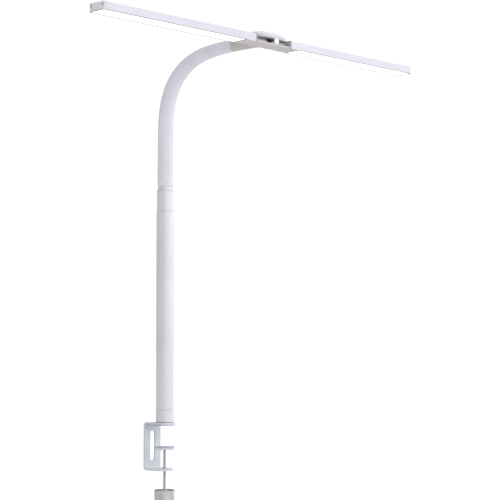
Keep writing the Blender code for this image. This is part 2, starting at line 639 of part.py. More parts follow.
def make_hub(shop, head):
    """Make the hub: floor with the neck's boss, deck, cover, core, post and touch board."""
    white = {"colour": (0.80, 0.80, 0.84), "roughness": 0.4}
    black = {"colour": (0.02, 0.02, 0.02), "roughness": 0.5}
    half_plan = HUB_HALF
    base_low = (-half_plan, head.front, head.bottom)
    base = shop.box("hub_base", base_low, (half_plan, head.back, head.floor), **white)
    wall_low = (-half_plan, head.back - HUB_BACK_WALL, head.floor - MM)
    back_wall = shop.box("join_back_wall", wall_low, (half_plan, head.back, head.deck - GAP))
    boss_place = along_neck((0.0, head.boss_back, head.neck_start.z))
    boss = shop.rod("join_boss", BOSS_R, 0.0, BOSS_LENGTH, boss_place, steps=48)
    bore = shop.rod("cut_boss_bore", NECK_SPIGOT_R + GAP, -BOSS_LENGTH, 3 * BOSS_LENGTH, boss_place)
    shop.combine(base, [back_wall, boss], "UNION")
    shop.combine(base, [bore])

    boss_clear = shop.rod("cut_boss_clear", BOSS_R + GAP, -BOSS_LENGTH, BOSS_LENGTH + 2 * GAP, boss_place)
    ring_reach = BOSS_LENGTH + RETAINER_THICK + 6 * GAP
    ring_clear = shop.rod("cut_ring_clear", RETAINER_R + 3 * GAP, 0.0, ring_reach, boss_place)
    middle = at(0.0, head.y, (head.deck + head.deck_top) / 2)
    plan = plan_outline(HUB_HALF, head.half_width)
    deck = shop.flat("hub_deck", [plan], DECK_THICK, middle, **white)
    shop.combine(deck, [boss_clear, ring_clear])

    cover_low = head.deck_top + GAP
    cover_top = head.top + COVER_RISE
    cover_y = head.y - COVER_SETBACK / 2
    cover_half_y = head.half_width - COVER_SETBACK / 2
    place = at(0.0, cover_y, 0.0)
    size = (COVER_HALF, cover_half_y)
    cover = cover_dome(shop, "hub_cover", *size, cover_low, cover_top, COVER_ROUND, place, **white)
    size = (COVER_HALF - COVER_WALL, cover_half_y - COVER_WALL)
    hollow = cover_dome(shop, "cut_cover_hollow", *size, cover_low - 5 * MM, cover_top - COVER_WALL,
                        COVER_ROUND - COVER_WALL, place)
    shop.combine(cover, [hollow, boss_clear])

    core_y = (head.y - CORE_DEPTH / 2, head.y + CORE_DEPTH / 2)
    core_low = (-CORE_HALF, core_y[0], head.floor + GAP)
    core = shop.box("hub_core", core_low, (CORE_HALF, core_y[1], head.deck - GAP), **black)
    pivot = at(0.0, head.y, head.axis_z) @ Matrix.Rotation(math.pi / 2, 4, "Y")
    core_bore = shop.rod("cut_core_bore", PIVOT_R + GAP, -2 * CORE_HALF, 2 * CORE_HALF, pivot)
    shop.combine(core, [core_bore])
    post_low = (-POST_HALF, head.front, head.floor + GAP)
    post = shop.box("hub_post", post_low, (POST_HALF, head.front + POST_DEPTH, head.deck - GAP), **white)
    board_z = cover_low + BOARD_THICK / 2
    shrink = COVER_WALL + 0.6 * MM
    board_plan = plan_outline(COVER_HALF - shrink, cover_half_y - shrink)
    green = {"colour": (0.05, 0.2, 0.1), "roughness": 0.4}
    board = shop.flat("touch_board", [board_plan], BOARD_THICK, at(0.0, cover_y, board_z), **green)
    shop.combine(board, [boss_clear, ring_clear])
    swivel = Matrix.Translation((0.0, head.boss_back, head.neck_start.z))
    pieces = [base, deck, cover, core, post, board]
    shop.body("head", f"gooseneck_{GOOSE_LINKS:02d}", swivel, pieces)


def bar_outline(head):
    """Outline a bar's housing in the YZ plane, about the bar's bottom centre line."""
    half = head.half_width
    inner = half - BAR_WALL
    roof = BAR_THICK - BAR_WALL
    rib_low = roof - RIB_HEIGHT
    lip = half - LIP_WIDTH
    rib = inner - RIB_WIDTH
    right = arc((half - BAR_ROUND, BAR_THICK - BAR_ROUND), BAR_ROUND, 90, 0, 4) + [(half, 0.0)]
    right += [(lip, 0.0), (lip, LIP_THICK), (inner, LIP_THICK)]
    right += [(inner, rib_low), (rib, rib_low), (rib, roof)]
    left = [(-y, z) for y, z in reversed(right)]
    return right + left


def diffuser_outline(head):
    """Outline the diffuser: a panel between the housing's lips, with a flange on top of them."""
    slim = head.half_width - LIP_WIDTH - GAP
    wide = head.half_width - BAR_WALL - GAP
    step = LIP_THICK + GAP
    top = step + DIFFUSER_FLANGE
    low = step - DIFFUSER_THICK + DIFFUSER_FLANGE
    right = [(slim, low), (slim, step), (wide, step), (wide, top)]
    return right + [(-y, z) for y, z in reversed(right)]


def make_bar(shop, head, side, label):
    """Make one light bar on the side where X has the given sign."""
    satin = {"colour": shop.silver, "roughness": 0.35, "metallic": 0.6}
    white = {"colour": (0.95, 0.95, 0.92), "roughness": 0.5}
    steel = {"colour": (0.2, 0.2, 0.2), "roughness": 0.35, "metallic": 0.9}
    metal = {"colour": (0.5, 0.5, 0.5), "roughness": 0.3, "metallic": 1.0}
    half = head.half_width
    plug_half = half - BAR_WALL - RIB_WIDTH - GAP
    inner_face = head.bar_start + INNER_CAP
    outer_face = BAR_HALF_SPAN - OUTER_CAP

    def span(name, x0, x1, y_half, z0, z1, **finish):
        low_x, high_x = sorted((side * x0, side * x1))
        low = (low_x, head.y - y_half, head.bottom + z0)
        return shop.box(name, low, (high_x, head.y + y_half, head.bottom + z1), **finish)

    def profile_bar(name, outline, x0, x1, **finish):
        place = at(side * (x0 + x1) / 2, head.y, head.bottom) @ ALONG_X
        return shop.flat(name, [outline], x1 - x0, place, **finish)

    axis = at(0.0, head.y, head.axis_z) @ Matrix.Rotation(side * math.pi / 2, 4, "Y")
    housing = profile_bar(f"housing_{label}", bar_outline(head), inner_face + GAP, outer_face - GAP, **satin)

    inner_cap = span(f"inner_cap_{label}", head.bar_start, inner_face, half, 0.0, BAR_THICK, **satin)
    plug_end = head.bar_start + STUB_LENGTH + 2 * MM
    plug_low = head.axis_z - head.bottom - BARREL_R
    plug = span(f"join_plug_{label}", inner_face - MM, plug_end, plug_half, plug_low, plug_low + 2 * BARREL_R)
    stub_hole = shop.rod(f"cut_stub_{label}", PIVOT_R + GAP, 0.0, head.bar_start + STUB_LENGTH + GAP, axis)
    shop.soften(inner_cap, BAR_ROUND / 2)
    shop.combine(inner_cap, [plug], "UNION")
    shop.combine(inner_cap, [stub_hole])

    outer_cap = span(f"outer_cap_{label}", outer_face, BAR_HALF_SPAN, half, 0.0, BAR_THICK, **satin)
    shop.soften(outer_cap, BAR_ROUND / 2)

    screws = []
    screw_y = half - BAR_WALL - RIB_WIDTH / 2
    screw_z = BAR_THICK - BAR_WALL - RIB_HEIGHT / 2
    head_low = BAR_HALF_SPAN - CAP_SCREW_SINK - 1.2 * MM
    for sign, mark in ((1, "back"), (-1, "front")):
        turn = Matrix.Rotation(side * math.pi / 2, 4, "Y")
        place = at(0.0, head.y + sign * screw_y, head.bottom + screw_z) @ turn
        shank_low = outer_face - CAP_SCREW_LENGTH
        profile = [(0.0, head_low + 1.2 * MM), (CAP_SCREW_HEAD_R, head_low + 1.2 * MM)]
        profile += [(CAP_SCREW_HEAD_R, head_low), (CAP_SCREW_R, head_low), (CAP_SCREW_R, shank_low), (0.0, shank_low)]
        screws.append(shop.turned(f"cap_screw_{label}_{mark}", profile, place, steps=16, **steel))
        grown = [(0.0, BAR_HALF_SPAN + MM), (CAP_SCREW_HEAD_R + GAP, BAR_HALF_SPAN + MM)]
        grown += [(CAP_SCREW_HEAD_R + GAP, head_low - GAP), (CAP_SCREW_R + GAP, head_low - GAP)]
        grown += [(CAP_SCREW_R + GAP, shank_low - MM), (0.0, shank_low - MM)]
        hole = shop.turned(f"cut_cap_screw_{label}_{mark}", grown, place, steps=16)
        shop.combine(outer_cap, [hole])
        shop.combine(housing, [hole])

    panel_end = outer_face - GAP
    diffuser = profile_bar(f"diffuser_{label}", diffuser_outline(head), inner_face + GAP, panel_end, **white)
    board_low = BAR_THICK - BAR_WALL - RIB_HEIGHT - BOARD_THICK - GAP
    board_half = half - BAR_WALL - GAP
    board_high = board_low + BOARD_THICK
    board = span(f"led_board_{label}", plug_end + GAP, panel_end, board_half, board_low, board_high, **white)

    flange = head.bar_start - GAP
    pivot_in = CORE_HALF - 6 * MM
    shoulder = CORE_HALF + WASHER_THICK + 2 * GAP
    profile = [(0.0, head.bar_start + STUB_LENGTH), (PIVOT_R, head.bar_start + STUB_LENGTH), (PIVOT_R, flange)]
    profile += [(BARREL_R, flange), (BARREL_R, shoulder), (PIVOT_R, shoulder), (PIVOT_R, pivot_in)]
    profile += [(0.0, pivot_in)]
    barrel = shop.turned(f"tilt_barrel_{label}", profile, axis, steps=24, **metal)
    washer_low = CORE_HALF + GAP
    washer_high = washer_low + WASHER_THICK
    washer = shop.tube(f"tilt_washer_{label}", BARREL_R, PIVOT_R + GAP, washer_low, washer_high, axis, steps=24, **steel)
    pieces = [housing, inner_cap, outer_cap, *screws, diffuser, board, barrel, washer]
    shop.body(f"bar_{label}", "head", at(0.0, head.y, head.axis_z), pieces)


def main():
    """Build the lamp."""
    shop = Workshop()
    make_clamp(shop)
    make_screw(shop)
    make_pole(shop)
    make_gooseneck(shop)
    head = Head()
    make_hub(shop, head)
    make_bar(shop, head, -1, "left")
    make_bar(shop, head, 1, "right")


main()
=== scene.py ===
"""Looks of the clamp-on desk lamp: smooth skins over the CAD frame, finishes, floor, light and camera.

Metres, +Z up, in the CAD's frame.  Every skin is a surface worked out on a grid of points whose
rows go round the piece and whose columns run along its profile.
"""
import json
import math

import bmesh
import bpy
import numpy as np
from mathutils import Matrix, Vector


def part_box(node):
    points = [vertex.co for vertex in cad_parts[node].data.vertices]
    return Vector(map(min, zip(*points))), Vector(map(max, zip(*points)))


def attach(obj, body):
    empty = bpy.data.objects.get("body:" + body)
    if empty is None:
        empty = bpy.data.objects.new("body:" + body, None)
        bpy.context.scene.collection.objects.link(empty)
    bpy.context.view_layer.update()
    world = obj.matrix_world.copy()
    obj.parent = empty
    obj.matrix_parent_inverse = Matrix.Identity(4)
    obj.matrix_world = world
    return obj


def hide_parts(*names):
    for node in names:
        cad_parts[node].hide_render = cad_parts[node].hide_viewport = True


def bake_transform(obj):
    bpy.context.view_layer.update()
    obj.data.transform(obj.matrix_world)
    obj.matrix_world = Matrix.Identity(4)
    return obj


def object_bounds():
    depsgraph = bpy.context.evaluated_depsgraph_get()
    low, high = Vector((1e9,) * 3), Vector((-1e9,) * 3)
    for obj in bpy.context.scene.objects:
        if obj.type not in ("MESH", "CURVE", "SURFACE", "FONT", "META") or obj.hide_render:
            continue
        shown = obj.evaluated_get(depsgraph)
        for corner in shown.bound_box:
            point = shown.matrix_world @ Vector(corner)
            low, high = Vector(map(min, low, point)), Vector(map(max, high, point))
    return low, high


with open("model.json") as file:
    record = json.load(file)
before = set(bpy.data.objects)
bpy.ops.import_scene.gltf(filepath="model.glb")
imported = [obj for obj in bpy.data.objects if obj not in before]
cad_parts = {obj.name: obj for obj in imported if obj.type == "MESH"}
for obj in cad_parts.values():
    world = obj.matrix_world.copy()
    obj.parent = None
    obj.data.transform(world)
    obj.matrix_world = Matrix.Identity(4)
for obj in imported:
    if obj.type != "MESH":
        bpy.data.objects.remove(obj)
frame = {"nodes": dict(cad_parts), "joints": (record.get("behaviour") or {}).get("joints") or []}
cad_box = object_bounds()
joints = {joint["name"]: joint.get("pos_m", (0, 0, 0)) for joint in frame["joints"]}

MM = 0.001
X_AXIS = np.array((1.0, 0.0, 0.0))
Y_AXIS = np.array((0.0, 1.0, 0.0))
Z_AXIS = np.array((0.0, 0.0, 1.0))

# facets round a turned skin: a wide one, a barrel, a screw's head, a pin
AROUND = 96
AROUND_BARREL = 64
AROUND_HEAD = 48
AROUND_PIN = 24
QUARTER_STEPS = 7  # points on a flat piece's rounded corner
SHARP_FROM = 38.0  # degrees: an edge that turns more than this is shaded sharp

SCREW_HOLE = 3.3 * MM  # radius of every hole that the clamp's screw goes through
POLE_BORE = 13 * MM  # inner radius of the pole's sleeve and collar
LEAD_BORE = 5.2 * MM  # radius of the ring's hole, which the lead goes through
SEAM = 0.3 * MM  # open line between two pieces of the pole


# ---------------------------------------------------------------- camera and light

CAMERA_PLACE = (-1.932, -2.054, 0.1654)
CAMERA_HEADING = math.radians(46.52)  # from +Y towards +X
CAMERA_RISE = math.radians(3.38)
FOCAL = 1484 / 500  # focal length as a share of the picture's width
SENSOR = 36.0  # millimetres

KEY_PLACE = (2.6, -2.4, 1.2)
KEY_TARGET = (0.0, -0.1, 0.35)  # about the lamp's middle
KEY_SIDE = 2.0
KEY_POWER = 4.0

SKY_BRIGHT_SIDE = (0.69, -0.72, 0.0)  # the way to the sky's brighter half
SKY_TURNS = (-0.2, 0.4)  # where the sky starts and stops brightening, as a cosine from that way
SKY_DARK = 0.58
SKY_BRIGHT = 1.46
BACKDROP = 1.1  # strength of the plain white that the camera sees

FLOOR_DROP = 4 * MM  # from the lamp's lowest point down to the floor
FLOOR_HALF = 30.0
FLOOR_LIFT = 0.5  # glow that only the camera sees, so that the floor is as white as the backdrop


def make_camera():
    """Stand the camera in front of the lamp, looking slightly up along its heading."""
    camera = bpy.data.cameras.new("camera")
    camera.sensor_width = SENSOR
    camera.lens = FOCAL * SENSOR
    camera.clip_start = 0.05
    camera.clip_end = 60.0
    holder = bpy.data.objects.new("camera", camera)
    holder.location = CAMERA_PLACE
    holder.rotation_euler = (math.pi / 2 + CAMERA_RISE, 0.0, -CAMERA_HEADING)
    bpy.context.scene.collection.objects.link(holder)
    bpy.context.scene.camera = holder


def make_key():
    """Hang the one square soft box, facing the lamp's middle."""
    light = bpy.data.lights.new("key", "AREA")
    light.shape = "RECTANGLE"
    light.size = light.size_y = KEY_SIDE
    light.energy = KEY_POWER
    light.color = linear("#F8F6FF")[:3]
    holder = bpy.data.objects.new("key", light)
    holder.location = KEY_PLACE
    way = Vector(KEY_TARGET) - Vector(KEY_PLACE)
    holder.rotation_euler = way.to_track_quat("-Z", "Y").to_euler()
    bpy.context.scene.collection.objects.link(holder)


# ---------------------------------------------------------------- materials


def linear(code):
    """Turn an sRGB hex colour into linear red, green, blue and alpha."""
    parts = np.array([int(code[i:i + 2], 16) for i in (1, 3, 5)]) / 255
    low = parts / 12.92
    high = ((parts + 0.055) / 1.055) ** 2.4
    return (*np.where(parts <= 0.04045, low, high).tolist(), 1.0)


def add(tree, kind, sockets=None, **settings):
    """Add a node; sockets maps an input's name or index to a value, or to an output to link."""
    made = tree.nodes.new(kind)
    for key, value in settings.items():
        setattr(made, key, value)
    for key, value in (sockets or {}).items():
        if isinstance(value, bpy.types.NodeSocket):
            tree.links.new(value, made.inputs[key])
        else:
            made.inputs[key].default_value = value
    return made


class Finish:
    """A material in the making: its node tree, its Principled shader and the piece's own coordinates.

    A constant such as Coat_Weight=0.1 sets the shader's socket of that name, Coat Weight.
    """

    SWING = (0.3, 0.7)  # the values that a noise mostly keeps between

    def __init__(self, name, **constants):
        self.material = bpy.data.materials.new(name)
        self.material.use_nodes = True
        self.tree = self.material.node_tree
        self.shader = self.tree.nodes["Principled BSDF"]
        for key, value in constants.items():
            self.shader.inputs[key.replace("_", " ")].default_value = value
        self.place = add(self.tree, "ShaderNodeTexCoord").outputs["Object"]

    def drive(self, output, socket):
        """Link an output to one of the shader's sockets."""
        self.tree.links.new(output, self.shader.inputs[socket])

    def noise(self, scale, detail, place=None):
        """Give a noise whose features are about 1 / scale metres across."""
        sockets = {"Vector": self.place if place is None else place, "Scale": scale, "Detail": detail}
        return add(self.tree, "ShaderNodeTexNoise", sockets).outputs[0]

    def spread(self, value, start, stop, low=0.0, high=1.0):
        """Map the values from start to stop onto those from low to high, and hold them there."""
        sockets = {0: value, 1: start, 2: stop, 3: low, 4: high}
        return add(self.tree, "ShaderNodeMapRange", sockets).outputs[0]

    def calculate(self, operation, value, *constant):
        """Do a sum on a value, with a constant or another value where the sum takes one."""
        sockets = dict(enumerate((value, *constant)))
        return add(self.tree, "ShaderNodeMath", sockets, operation=operation).outputs[0]

    def colour(self, factor, dark, light):
        """Let a factor between nought and one blend the base colour between two hex colours."""
        sockets = {0: factor, 6: linear(dark), 7: linear(light)}
        self.drive(add(self.tree, "ShaderNodeMix", sockets, data_type="RGBA").outputs[2], "Base Color")

    def gloss(self, value, low, high):
        """Let a noise move the roughness between two values."""
        self.drive(self.spread(value, *self.SWING, low, high), "Roughness")

    def grain(self, height, strength, distance):
        """Let a noise bump the surface; used only for grain far too fine for the mesh."""
        sockets = {"Height": height, "Strength": strength, "Distance": distance}
        self.drive(add(self.tree, "ShaderNodeBump", sockets).outputs[0], "Normal")


def anodised(name, dark, light, along, roughness):
    """Anodised aluminium extrusion: satin metal with faint drawn lines along the extrusion.

    The lines are a noise squeezed across one axis; real ones are 0.05 mm wide, drawn 0.5 mm wide
    to show.  A second, slow noise shifts the dye a little, as anodising does along a long bar.
    """
    made = Finish(name, Metallic=0.35, Roughness=roughness)
    scale = [2000.0, 2000.0, 2000.0]
    scale[along] = 12.0
    drawn = add(made.tree, "ShaderNodeMapping", {"Vector": made.place, "Scale": scale}).outputs[0]
    lines = made.noise(1.0, 3.0, drawn)
    dye = made.noise(9.0, 2.0)
    made.colour(made.spread(made.calculate("ADD", lines, dye), 0.7, 1.3), dark, light)
    made.gloss(lines, roughness - 0.04, roughness + 0.05)
    made.grain(lines, 0.06, 0.1 * MM)
    return made.material


def powder_coat(name, dark, light):
    """Powder-coated steel: a satin coat with orange peel, bumps about 0.8 mm across."""
    made = Finish(name, Metallic=0.2, Roughness=0.42, IOR=1.5)
    peel = made.noise(1200.0, 2.0)
    made.colour(made.spread(made.noise(25.0, 3.0), 0.35, 0.65), dark, light)
    made.gloss(peel, 0.36, 0.5)
    made.grain(peel, 0.18, 0.2 * MM)
    return made.material


def moulded(name, dark, light, roughness, depth=0.12, coat=0.0):
    """Moulded plastic, bare or painted: a grain two thirds of a millimetre across, and flow marks."""
    made = Finish(name, Roughness=roughness, IOR=1.53, Coat_Weight=coat)
    spark = made.noise(1500.0, 2.0)
    made.colour(made.spread(made.noise(30.0, 2.0), 0.35, 0.65), dark, light)
    made.gloss(spark, roughness - 0.05, roughness + 0.06)
    made.grain(spark, depth, 0.15 * MM)
    return made.material


def plated(name, dark, light, roughness, metal):
    """Plated steel: satin metal, with the dull spangle that plating leaves, 2 mm across."""
    made = Finish(name, Metallic=metal, Roughness=roughness)
    spangle = add(made.tree, "ShaderNodeTexVoronoi", {"Vector": made.place, "Scale": 500.0})
    made.colour(spangle.outputs["Distance"], dark, light)
    made.gloss(made.noise(900.0, 2.0), roughness - 0.06, roughness + 0.1)
    return made.material


def rubber(name, dark, light, roughness, sheen):
    """Silicone or rubber: soft and dull, with a dusty bloom and a fine matt grain."""
    made = Finish(name, Roughness=roughness, IOR=1.43, Sheen_Weight=sheen, Sheen_Roughness=0.5)
    made.colour(made.spread(made.noise(40.0, 4.0), *made.SWING), dark, light)
    made.grain(made.noise(1800.0, 3.0), 0.12, 0.12 * MM)
    return made.material


def opal(name, glow, pitch):
    """Opal acrylic, lit from behind: nearly even white, a trace brighter over each LED."""
    made = Finish(name, Roughness=0.35, IOR=1.49)
    made.shader.inputs["Base Color"].default_value = linear("#F6F6F4")
    made.shader.inputs["Emission Color"].default_value = linear("#FFFEFA")
    along = add(made.tree, "ShaderNodeSeparateXYZ", {0: made.place}).outputs[0]
    wave = made.calculate("COSINE", made.calculate("MULTIPLY", along, 2 * math.pi / pitch))
    made.drive(made.spread(wave, -1.0, 1.0, 0.93 * glow, glow), "Emission Strength")
    return made.material


def board(name, mask, chip, pitch):
    """Circuit board: solder mask with pads in rows, one bright pad each pitch."""
    made = Finish(name, Roughness=0.4, IOR=1.5)
    sockets = {"Vector": made.place, "Scale": 1 / pitch, "Randomness": 0.0}
    tiles = add(made.tree, "ShaderNodeTexVoronoi", sockets)
    made.colour(made.calculate("LESS_THAN", tiles.outputs["Distance"], 0.25), mask, chip)
    return made.material


LED_PITCH = 10 * MM

pole_metal = anodised("anodised_aluminium_pole", "#DADAE0", "#E8E8ED", 2, 0.38)
bar_metal = anodised("anodised_aluminium_bar", "#D2D2D9", "#DEDEE5", 0, 0.42)
clamp_coat = powder_coat("powder_coated_steel", "#D2D4D8", "#DFE1E5")
zinc = plated("zinc_plated_steel", "#BCBEC2", "#D6D8DC", 0.38, 0.55)
nickel = plated("satin_nickel_steel", "#D2D2D4", "#E6E6E8", 0.4, 0.2)
sleeve_rubber = rubber("silicone_sleeve", "#E1E1E8", "#EBEBF1", 0.55, 0.12)
pad_rubber = rubber("pad_rubber", "#B4B8C4", "#C2C6D0", 0.7, 0.2)
# Dark grey silicone for the bead round each light and the ring on the knob's top: painted shade, standing
# in for the shadow line under each housing's lip and the shade on the knob's top.
shadow_grey_rubber = rubber("painted_shadow_silicone", "#7E7E7C", "#888886", 0.6, 0.1)
knob_plastic = moulded("abs_knob", "#C8C7C6", "#D2D1D0", 0.42)
# Warm grey paint for the neck, the hub's base and the plates under the bars' inner ends; the hub's own
# paint is white, so this grey is partly a warm tint and partly painted shade, standing in for the shade
# under the hub.
neck_paint_with_shade = moulded("painted_abs_neck_with_painted_shade", "#C6BEB9", "#D2CBC6", 0.36, depth=0.06, coat=0.1)
hub_paint = moulded("painted_abs_hub", "#D2D4DB", "#DDDFE6", 0.36, depth=0.06, coat=0.15)
cap_paint = moulded("painted_abs_cap", "#E4E4E9", "#EEEEF2", 0.4, depth=0.08)
# Dark grey for the bars' inner end caps: painted shade, standing in for the shade on the end faces that
# look away from the light.
root_paint_as_shade = moulded("painted_abs_root_as_shade", "#A8A8AC", "#B4B4B8", 0.4, depth=0.08)
post_paint = moulded("painted_abs_post", "#F0F0F4", "#F8F8FA", 0.36, depth=0.06)
white_nylon = moulded("natural_nylon", "#C9C9CB", "#D6D6D8", 0.5)
black_nylon = moulded("black_nylon", "#141416", "#202024", 0.5)
lead_pvc = moulded("pvc_lead", "#17171A", "#222226", 0.45)
lit_opal = opal("lit_opal_acrylic", 1.25, LED_PITCH)
green_board = board("solder_mask_board", "#1E5A36", "#C8B46A", 6 * MM)
white_board = board("white_led_board", "#EDEDEA", "#FFF2B0", LED_PITCH)


# ---------------------------------------------------------------- surfaces


def skin(name, grid, body, finish, stands_for=(), loop=False, sharp=SHARP_FROM):
    """Make a mesh from a grid of points, closed round its rows, facing outwards.

    Each point is joined to those of the next row and column, and a looped profile's last column to
    its first.  Doubled points, as at a pole, are merged, and the sign of the enclosed volume
    decides which way the faces turn.
    """
    rows, columns = grid.shape[:2]
    numbers = np.arange(rows * columns).reshape(rows, columns)
    numbers = np.concatenate((numbers, numbers[:1]))
    if loop:
        numbers = np.concatenate((numbers, numbers[:, :1]), axis=1)
    quads = np.stack((numbers[:-1, :-1], numbers[1:, :-1], numbers[1:, 1:], numbers[:-1, 1:]), axis=-1)
    quads = quads.reshape(-1, 4)
    points = grid.reshape(-1, 3)
    a, b, c, d = (points[quads[:, k]] for k in range(4))
    volume = np.einsum("ij,ij->", a, np.cross(b, c)) + np.einsum("ij,ij->", a, np.cross(c, d))
    quads = quads if volume > 0 else quads[:, ::-1]
    mesh = bpy.data.meshes.new(name)
    mesh.from_pydata(points.tolist(), [], quads.tolist())
    shape = bmesh.new()
    shape.from_mesh(mesh)
    bmesh.ops.remove_doubles(shape, verts=shape.verts, dist=1e-6)
    shape.to_mesh(mesh)
    shape.free()
    mesh.polygons.foreach_set("use_smooth", np.ones(len(mesh.polygons), bool))
    mesh.set_sharp_from_angle(angle=math.radians(sharp))
    mesh.materials.append(finish)
    piece = bpy.data.objects.new(name, mesh)
    bpy.context.scene.collection.objects.link(piece)
    if stands_for:
        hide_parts(*stands_for)
    if body:
        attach(piece, body)
    return piece


def rounded(corners, radius, closed=True):
    """Round a profile's corners: each becomes a quadratic curve between points on its two edges.

    P(t) = (1-t)^2 A + 2t(1-t) C + t^2 B, with A and B a radius from the corner C, or less on a
    short edge; one more point just beyond A and B keeps the flats' shading flat.
    """
    most, beyond, last = 0.45, 1.25, 0.49  # the cut's largest share of an edge, and the added point's place
    corner = np.array(corners, float)
    t = np.linspace(0.0, 1.0, 6)[None, :, None]
    ends = []
    for other in (np.roll(corner, 1, axis=0), np.roll(corner, -1, axis=0)):
        way = other - corner
        length = np.linalg.norm(way, axis=1, keepdims=True)
        cut = np.minimum(radius, most * length)
        flat = np.minimum(beyond * cut, last * length)
        ends.append((corner + way / length * cut, corner + way / length * flat))
    (a, a_far), (b, b_far) = ends
    curve = (1 - t) ** 2 * a[:, None] + 2 * t * (1 - t) * corner[:, None] + t ** 2 * b[:, None]
    whole = np.concatenate((a_far[:, None], curve, b_far[:, None]), axis=1)
    if closed:
        return whole.reshape(-1, 2)
    inner = whole[1:-1].reshape(-1, 2)
    return np.concatenate((corner[:1], inner, corner[-1:]))


def turned(profile, origin=(0, 0, 0), axis=Z_AXIS, steps=AROUND):
    """Turn a profile of radius and height round an axis.

    P(a, v) = O + z(v) K + r(v) (cos a I + sin a J), with K the axis and I and J square to it.
    """
    k = np.array(axis, float)
    i = np.cross(k, X_AXIS if abs(k[0]) < 0.5 else Y_AXIS)
    i /= np.linalg.norm(i)
    j = np.cross(k, i)
    a = np.linspace(0, 2 * math.pi, steps, endpoint=False)[:, None, None]
    r = profile[None, :, :1]
    z = profile[None, :, 1:]
    return np.array(origin, float) + z * k + r * (np.cos(a) * i + np.sin(a) * j)


def tube_profile(outer, inner, low, high, edge):
    """List a tube's rounded profile, as a closed loop."""
    return rounded([(inner, low), (outer, low), (outer, high), (inner, high)], edge)


def disc_profile(radius, low, high, edge):
    """List a disc's rounded profile, from the middle of its underside to the middle of its top."""
    return rounded([(0, low), (radius, low), (radius, high), (0, high)], edge, closed=False)


def corner_arcs(low, high, inset):
    """Go round a rectangle in X and Y, and list its corner arcs' centres and the ways outwards.

    A centre lies an inset from the two sides that meet at its corner; the way turns a quarter there.
    """
    signs = np.array(((1, 1), (-1, 1), (-1, -1), (1, -1)))
    turn = np.arange(4)[:, None] * math.pi / 2 + np.linspace(0, math.pi / 2, QUARTER_STEPS)
    turn = turn.reshape(-1)
    middle = np.add(low, high)[:2] / 2
    half = np.subtract(high, low)[:2] / 2 - inset
    centres = np.pad(np.repeat(middle + signs * half, QUARTER_STEPS, axis=0), ((0, 0), (0, 1)))
    return centres, np.stack((np.cos(turn), np.sin(turn), 0 * turn), axis=-1)


def slab(low, high, corner, edge):
    """Grid of a flat slab with rounded corners and eased edges, between two opposite box corners.

    P(u, w) = M + k(w) (C(u) - M + c N(u)) - e(w) N(u) + z(w) Z: C and N are the corner arc's centre
    and outward way, c is the corner's radius, M the middle, k closes both faces on it, e eases the edges.
    """
    centres, out = corner_arcs(low, high, corner)
    middle = np.add(low, high) / 2 * (1, 1, 0)
    rim = (centres - middle + corner * out)[:, None]
    k = np.array((0, 1, 1, 1, 1, 0))[None, :, None]
    ease = edge * np.array((0, 1, 0, 0, 1, 0))[None, :, None]
    z = np.array((low[2], low[2], low[2] + edge, high[2] - edge, high[2], high[2]))[None, :, None]
    return middle + k * rim - ease * out[:, None] + z * Z_AXIS


def threaded(radius, depth, pitch, low, high, steps=32, per_turn=8):
    """Grid of a right-handed thread: r(a, z) = R - D |2 f - 1|, with f the fraction of z/p - a/2pi.

    The depth fades over one pitch at each end, and the ends close on the axis.
    """
    z = np.linspace(low, high, int((high - low) / pitch * per_turn) + 1)[None, :]
    a = np.linspace(0, 2 * math.pi, steps, endpoint=False)[:, None]
    f = (z / pitch - a / (2 * math.pi)) % 1.0
    fade = np.clip(np.minimum(z - low, high - z) / pitch, 0, 1)
    r = radius - depth * np.abs(2 * f - 1) * fade - depth * (1 - fade)
    z = np.broadcast_to(z, r.shape)
    r = np.pad(r, ((0, 0), (1, 1)))
    z = np.pad(z, ((0, 0), (1, 1)), mode="edge")
    return np.stack((r * np.cos(a), r * np.sin(a), z), axis=-1)


def chords(points):
    """Give each point's distance from the first, along the chords."""
    return np.concatenate(([0.0], np.cumsum(np.linalg.norm(np.diff(points, axis=0), axis=1))))


def spline(points, samples):
    """Natural cubic spline through points, by chord length: the curve and its unit tangents."""
    knots = chords(points)
    h = np.diff(knots)
    count = len(points)
    system = np.eye(count)
    right = np.zeros_like(points)
    inner = np.arange(1, count - 1)
    system[inner, inner - 1] = h[:-1]
    system[inner, inner] = 2 * (h[:-1] + h[1:])
    system[inner, inner + 1] = h[1:]
    slope = np.diff(points, axis=0) / h[:, None]
    right[1:-1] = 6 * (slope[1:] - slope[:-1])
    bend = np.linalg.solve(system, right)
    at = np.clip(np.searchsorted(knots, samples, side="right") - 1, 0, count - 2)
    u = (samples - knots[at])[:, None]
    w = h[at][:, None]
    p, q = points[at], points[at + 1]
    mp, mq = bend[at], bend[at + 1]
    rise = (q - p) / w - w * (2 * mp + mq) / 6
    curve = p + u * rise + u ** 2 * mp / 2 + u ** 3 * (mq - mp) / (6 * w)
    tangent = rise + u * mp + u ** 2 * (mq - mp) / (2 * w)
    return curve, tangent / np.linalg.norm(tangent, axis=1, keepdims=True)


def dress(finish, *names):
    """Give CAD nodes a finish."""
    for name in names:
        node = frame["nodes"][name]
        node.data.materials.clear()
        node.data.materials.append(finish)


def spans(node):
    """Give a node's lowest and highest corners as arrays."""
    low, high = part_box(node)
    return np.array(low, float), np.array(high, float)


def reach(node):
    """Give where a node starts and ends, as distances along X from the lamp's middle plane."""
    low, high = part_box(node)
    return sorted((abs(low[0]), abs(high[0])))


# ---------------------------------------------------------------- clamp and pole


